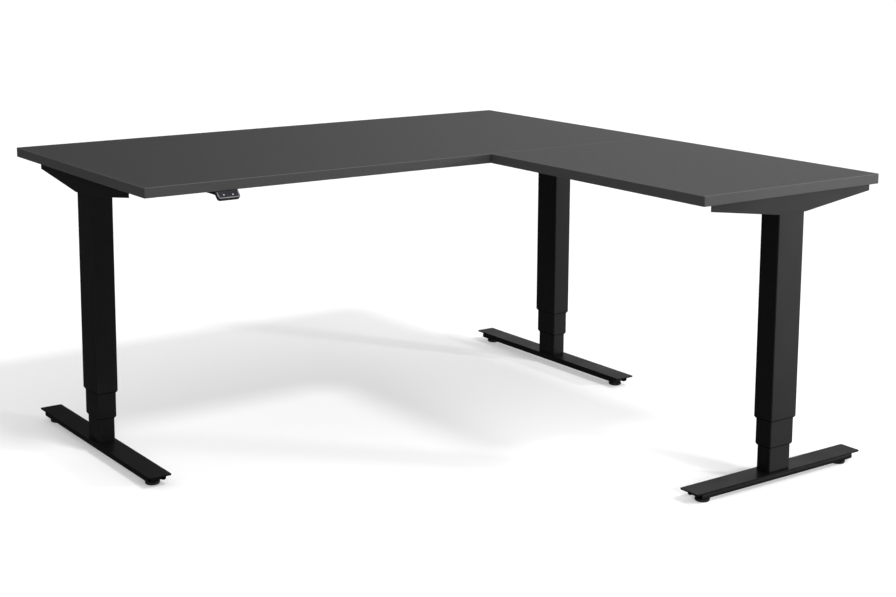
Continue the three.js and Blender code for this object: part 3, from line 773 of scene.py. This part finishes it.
def add_strain_reliefs():
    box_low, box_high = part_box("control_box_body")
    handset_low, handset_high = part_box("handset_lead")
    corner_low, corner_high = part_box("corner_motor_lead")
    centre_y = (corner_low.y + corner_high.y) / 2
    return_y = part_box("return_motor_lead")[1].y - LEAD_RADIUS
    ends = [
        ((box_low.x, centre_y), (-1, 0, 0)),
        ((box_high.x, centre_y), (1, 0, 0)),
        ((box_high.x, return_y), (1, 0, 0)),
        ((handset_high.x - LEAD_RADIUS, box_low.y), (0, -1, 0)),
        ((handset_low.x + LEAD_RADIUS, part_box("handset_housing")[1].y), (0, 1, 0)),
    ]
    sleeves = merged([placed(strain_relief(), (x, y, LEAD_Z), toward) for (x, y), toward in ends])
    mesh = mesh_from("strain_reliefs", *sleeves)
    add_piece("strain_reliefs", mesh, GLIDE_PLASTIC, "top")


# ---- The control box's ears, ribs and screws, and the inlet's pins ----
EAR_REACH = 14 * MM
EAR_HALF_WIDTH = 8 * MM
EAR_THICKNESS = 2.6 * MM
EAR_INSET = 12 * MM  # from the box's corner to the ear's middle
LID_SCREW_INSET = 9 * MM
RIB_COUNT = 15
RIB_SIZE = (2.4, 60)  # across and along, in mm
RIB_HEIGHT = 1.2 * MM
RIB_SUNK = 0.2 * MM
PIN_SPOTS = ((-5, 2), (0, -2.5), (5, 2))  # across and up from the inlet's middle, in mm
PIN_SECTIONS = ((0, 1.0, 2.0), (10, 1.0, 2.0), (11.5, 0.5, 1.4))  # along, half width, half height
PIN_START = 2 * MM
SQUARE = ((-1, -1), (1, -1), (1, 1), (-1, 1))


def ear_outline(x, y, sign):
    centre = x + sign * (EAR_REACH - EAR_HALF_WIDTH)
    half = EAR_HALF_WIDTH * sign
    outline = [(x, y - half), (centre, y - half)]
    for step in range(1, 8):
        angle = -math.pi / 2 + math.pi * step / 8
        outline.append((centre + half * math.cos(angle), y + half * math.sin(angle)))
    return outline + [(centre, y + half), (x, y + half)]


def add_box_ears():
    low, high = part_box("control_box_body")
    ears, spots = [], []
    for x, sign in ((low.x, -1), (high.x, 1)):
        for y in (low.y + EAR_INSET, high.y - EAR_INSET):
            ears.append(slab(ear_outline(x, y, sign), high.z - EAR_THICKNESS, high.z))
            spots.append((x + sign * EAR_REACH / 2, y, high.z - EAR_THICKNESS))
    mesh = mesh_from("control_box_ears", *merged(ears))
    mount = add_piece("control_box_ears", mesh, BLACK_PLASTIC, "top")
    soften_edges(mount, 0.4 * MM)
    add_heads("control_box_ear_screws", spots, EAR_SCREW, SCREW_STEEL, "top")


def add_lid_details():
    low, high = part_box("control_box_body")
    lid_low, lid_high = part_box("control_box_lid")
    ribs = []
    for x in spread(lid_low.x, lid_high.x, RIB_COUNT, 50 * MM):
        outline = [(x + u * RIB_SIZE[0] / 2 * MM, (low.y + high.y) / 2 + v * RIB_SIZE[1] / 2 * MM)
                   for u, v in SQUARE]
        ribs.append(slab(outline, lid_low.z - RIB_HEIGHT, lid_low.z + RIB_SUNK))
    mesh = mesh_from("control_box_ribs", *merged(ribs))
    vents = add_piece("control_box_ribs", mesh, BLACK_PLASTIC, "top")
    soften_edges(vents, 0.5 * MM)
    corners = [(x, y, lid_low.z)
               for x in (lid_low.x + LID_SCREW_INSET, lid_high.x - LID_SCREW_INSET)
               for y in (lid_low.y + LID_SCREW_INSET, lid_high.y - LID_SCREW_INSET)]
    add_heads("control_box_lid_screws", corners, LID_SCREW, BLACK_BOLT, "top")


def add_inlet_pins():
    low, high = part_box("mains_inlet")
    middle = (low + high) / 2
    pins = []
    for y, z in PIN_SPOTS:
        loops = []
        for along, half_y, half_z in PIN_SECTIONS:
            x = low.x + PIN_START + along * MM
            loops.append([(x, middle.y + (y + u * half_y) * MM, middle.z + (z + v * half_z) * MM)
                          for u, v in SQUARE])
        pins.append(lofted(loops))
    mesh = mesh_from("mains_inlet_pins", *merged(pins))
    add_piece("mains_inlet_pins", mesh, SCREW_STEEL, "top")


# ---- The glides' locknuts and threads, and the foot's bolts ----
NUT_BORE = 4.9 * MM
NUT_RADIUS = 8.2 * MM  # over its corners
NUT_CHAMFER = 7.2 * MM
NUT_LEVELS = (9.6 * MM, 11.2 * MM, 11.6 * MM)  # underside, chamfer and top, above the pad's face
THREAD_RADII = (4.82 * MM, 5.15 * MM)  # root and crest
THREAD_TOP = 24.2 * MM
THREAD_PITCH = 1.25 * MM
FOOT_CEILING = 26 * MM  # underside of the foot's channel, above the floor
FOOT_BOLTS = [(u, v) for u in (-12, 12) for v in (-12, 12)]  # from the foot's middle, in mm


def thread(radius, crest, low, high, pitch):
    loops = [ring(radius, low)]
    for turn in range(int((high - low) / pitch)):
        start = low + turn * pitch
        loops += [ring(radius, start + 0.1 * pitch), ring(crest, start + 0.5 * pitch),
                  ring(radius, start + 0.9 * pitch)]
    return lofted(loops, closed_ends=False)


def add_foot_details():
    bottom, chamfer, top = NUT_LEVELS
    for leg in LEGS:
        foot_low, foot_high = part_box(f"{leg}_foot")
        middle = (foot_low + foot_high) / 2
        for end in "ab":
            low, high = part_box(f"{leg}_glide_{end}")
            centre = (low + high) / 2
            spot = (centre.x, centre.y, low.z)
            nut = lofted([
                ring(NUT_BORE, bottom), ring(NUT_RADIUS, bottom, flats=6),
                ring(NUT_RADIUS, chamfer, flats=6), ring(NUT_CHAMFER, top), ring(NUT_BORE, top),
            ], closed_ends=False)
            screw = thread(*THREAD_RADII, top, THREAD_TOP, THREAD_PITCH)
            name = f"{leg}_glide_{end}_stud"
            stud = merged([placed(nut, spot), placed(screw, spot)])
            add_piece(name, mesh_from(name, *stud), SCREW_STEEL, f"{leg}_glide_{end}")
        bolts = [(middle.x + u * MM, middle.y + v * MM, FOOT_CEILING) for u, v in FOOT_BOLTS]
        add_heads(f"{leg}_foot_bolts", bolts, FOOT_BOLT, BLACK_BOLT, f"{leg}_base")


# ---- The handset's face and its fixing screws ----
FACE_START = (1 * MM, 3 * MM)  # in front of the top's edge and below its underside
FACE_TOP, FACE_BOTTOM = 1.5 * MM, -15.8 * MM  # along the slope, from the start
FACE_MARGIN = 8.4 * MM  # the housing is this much wider
FACE_CORNER = 2.8 * MM
FACE_THICKNESS = 0.2 * MM
BUTTON_HOLE = (14.6 * MM, 11 * MM)
BUTTON_HOLE_CORNER = 2.3 * MM
BUTTON_SPOTS = [(side * MM, -9 * MM) for side in (-12, 12)]
HANDSET_SCREW_SIDE = 20
HANDSET_SCREW_SPOT = (16 * MM, 8.7 * MM)  # in from the back edge and down from the top


def rounded_loop(centre, size, radius, steps=5):
    low = [c - extent / 2 for c, extent in zip(centre, size)]
    high = [c + extent / 2 for c, extent in zip(centre, size)]
    return rounded_path(Vector((*low, 0)), Vector((*high, 0)), radius, 0.0, steps)


def settled(bm):
    """A mesh's vertices and faces, sorted, because bmesh fills an outline in no fixed order."""
    vertices = sorted(tuple(vertex.co) for vertex in bm.verts)
    places = {vertex: place for place, vertex in enumerate(vertices)}
    faces = []
    for face in bm.faces:
        corners = [places[tuple(vertex.co)] for vertex in face.verts]
        first = corners.index(min(corners))
        faces.append(corners[first:] + corners[:first])
    return vertices, sorted(faces)


def face_plate(loops, thickness):
    """A flat plate inside the first loop, with the other loops as holes in it."""
    bm = bmesh.new()
    for loop in loops:
        corners = [bm.verts.new((x, y, 0)) for x, y in loop]
        for first, second in zip(corners, corners[1:] + corners[:1]):
            bm.edges.new((first, second))
    bmesh.ops.triangle_fill(bm, use_beauty=True, edges=list(bm.edges))
    copied = bmesh.ops.extrude_face_region(bm, geom=list(bm.faces))["geom"]
    raised = [item for item in copied if isinstance(item, bmesh.types.BMVert)]
    bmesh.ops.translate(bm, vec=(0, 0, thickness), verts=raised)
    bmesh.ops.recalc_face_normals(bm, faces=list(bm.faces))
    plate = settled(bm)
    bm.free()
    return plate


def add_handset_details():
    low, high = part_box("handset_housing")
    x = (low.x + high.x) / 2
    ahead, below = FACE_START
    origin = (x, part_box("main_edge_band")[0].y - ahead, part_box("main_desktop")[0].z - below)
    face = Matrix.Translation(origin) @ Matrix.Rotation(math.pi / 4, 4, "X")
    size = (high.x - low.x - FACE_MARGIN, FACE_TOP - FACE_BOTTOM)
    outline = rounded_loop((0, (FACE_TOP + FACE_BOTTOM) / 2), size, FACE_CORNER)
    holes = [rounded_loop(spot, BUTTON_HOLE, BUTTON_HOLE_CORNER) for spot in BUTTON_SPOTS]
    vertices, faces = face_plate([outline, *holes], FACE_THICKNESS)
    vertices = [tuple(face @ Vector(vertex)) for vertex in vertices]
    mesh = mesh_from("handset_face", vertices, faces)
    add_piece("handset_face", mesh, KEYPAD, "top")
    inward, down = HANDSET_SCREW_SPOT
    spots = [(x + side * MM, high.y - inward, high.z - down)
             for side in (-HANDSET_SCREW_SIDE, HANDSET_SCREW_SIDE)]
    add_heads("handset_screws", spots, HANDSET_SCREW, SCREW_STEEL, "top")


add_rail_screws()
add_arm_screws()
add_plate_screws()
add_rail_brackets()
add_lead_clips()
add_strain_reliefs()
add_box_ears()
add_lid_details()
add_inlet_pins()
add_foot_details()
add_handset_details()


# ---- The floor, the light and the world ----
FLOOR_SIZE = 60
AMBIENT, REFLECTED, BACKDROP = 0.78, 0.05, 1.2  # the world as light, in reflections and as seen


def add_floor():
    bpy.ops.mesh.primitive_plane_add(size=FLOOR_SIZE, location=(0, 0, 0))
    floor = bpy.context.object
    floor.name = "floor"
    floor.data.materials.append(floor_material())
    floor.visible_glossy = False


def add_light(name, kind, location, target, power):
    data = bpy.data.lights.new(name, kind)
    data.energy = power
    light = bpy.data.objects.new(name, data)
    bpy.context.scene.collection.objects.link(light)
    light.location = location
    light.rotation_euler = (Vector(target) - Vector(location)).to_track_quat("-Z", "Y").to_euler()
    light.visible_camera = False
    return light


# Soft lights that only reflections see: compass bearing from +Y towards +X and height in degrees,
# where the glow is full and where it ends in degrees from its middle, and its strength.
GLOWS = (
    (124, 0, 12, 24, 1.9),
    (112, 10, 4, 22, 4.2),
    (56, 24, 4, 34, 0.58),
    (225, 45, 10, 45, 0.45),
    (225, -24, 8, 26, 0.7),
    (45, -24, 8, 26, 0.7),
    (315, 30, 8, 28, 0.5),
)


def glow(nodes, links, direction, bearing, height, full, end, strength):
    bearing, height = math.radians(bearing), math.radians(height)
    toward = nodes.new("ShaderNodeVectorMath")
    toward.operation = "DOT_PRODUCT"
    toward.inputs[1].default_value = (
        math.sin(bearing) * math.cos(height),
        math.cos(bearing) * math.cos(height),
        math.sin(height),
    )
    links.new(direction, toward.inputs[0])
    fade = nodes.new("ShaderNodeMapRange")
    fade.interpolation_type = "SMOOTHSTEP"
    fade.inputs["From Min"].default_value = math.cos(math.radians(end))
    fade.inputs["From Max"].default_value = math.cos(math.radians(full))
    fade.inputs["To Max"].default_value = strength
    links.new(toward.outputs["Value"], fade.inputs["Value"])
    return fade.outputs["Result"]


def add_world():
    """White to the eye, an even grey as light, and soft glows in reflections."""
    world = bpy.data.worlds.new("studio")
    bpy.context.scene.world = world
    world.use_nodes = True
    nodes, links = world.node_tree.nodes, world.node_tree.links
    nodes.clear()
    out = nodes.new("ShaderNodeOutputWorld")
    path = nodes.new("ShaderNodeLightPath")
    direction = nodes.new("ShaderNodeTexCoord").outputs["Generated"]
    pick_gloss = nodes.new("ShaderNodeMixShader")
    pick_eye = nodes.new("ShaderNodeMixShader")
    ambient, gloss, seen = (nodes.new("ShaderNodeBackground") for _ in range(3))
    for background, strength in ((ambient, AMBIENT), (gloss, REFLECTED), (seen, BACKDROP)):
        background.inputs["Color"].default_value = (1, 1, 1, 1)
        background.inputs["Strength"].default_value = strength
    total = None
    for place in GLOWS:
        add = nodes.new("ShaderNodeMath")
        add.inputs[1].default_value = REFLECTED
        links.new(glow(nodes, links, direction, *place), add.inputs[0])
        if total:
            links.new(total, add.inputs[1])
        total = add.outputs[0]
    links.new(total, gloss.inputs["Strength"])
    links.new(path.outputs["Is Glossy Ray"], pick_gloss.inputs[0])
    links.new(ambient.outputs[0], pick_gloss.inputs[1])
    links.new(gloss.outputs[0], pick_gloss.inputs[2])
    links.new(path.outputs["Is Camera Ray"], pick_eye.inputs[0])
    links.new(pick_gloss.outputs[0], pick_eye.inputs[1])
    links.new(seen.outputs[0], pick_eye.inputs[2])
    links.new(pick_eye.outputs[0], out.inputs[0])


# Spots that reflections don't see: place, target, power, cone in degrees and lamp radius. The side
# one reaches under the tops, and the low one lifts the shadow of the return.
SPOTS = (
    ("side_spot", (3.0, -3.3, 1.1), (0.45, -0.1, 0), 480, 60, 0.16),
    ("low_spot", (-0.3, -1.9, 0.5), (0.42, 0.02, 0), 170, 22, 0.12),
)
SUN = ("sun", "SUN", (0.9, -3.6, 4.6), (0, 0, 0), 1.5)
SUN_WIDTH = 10  # in degrees


def light_studio():
    sun = add_light(*SUN)
    sun.data.angle = math.radians(SUN_WIDTH)
    for name, place, target, power, cone, softness in SPOTS:
        spot = add_light(name, "SPOT", place, target, power)
        spot.data.spot_size, spot.data.spot_blend = math.radians(cone), 1.0
        spot.data.shadow_soft_size = softness
        spot.visible_glossy = False
    scene = bpy.context.scene
    scene.view_settings.view_transform = "Standard"
    scene.view_settings.look = "None"


add_floor()
add_world()
light_studio()
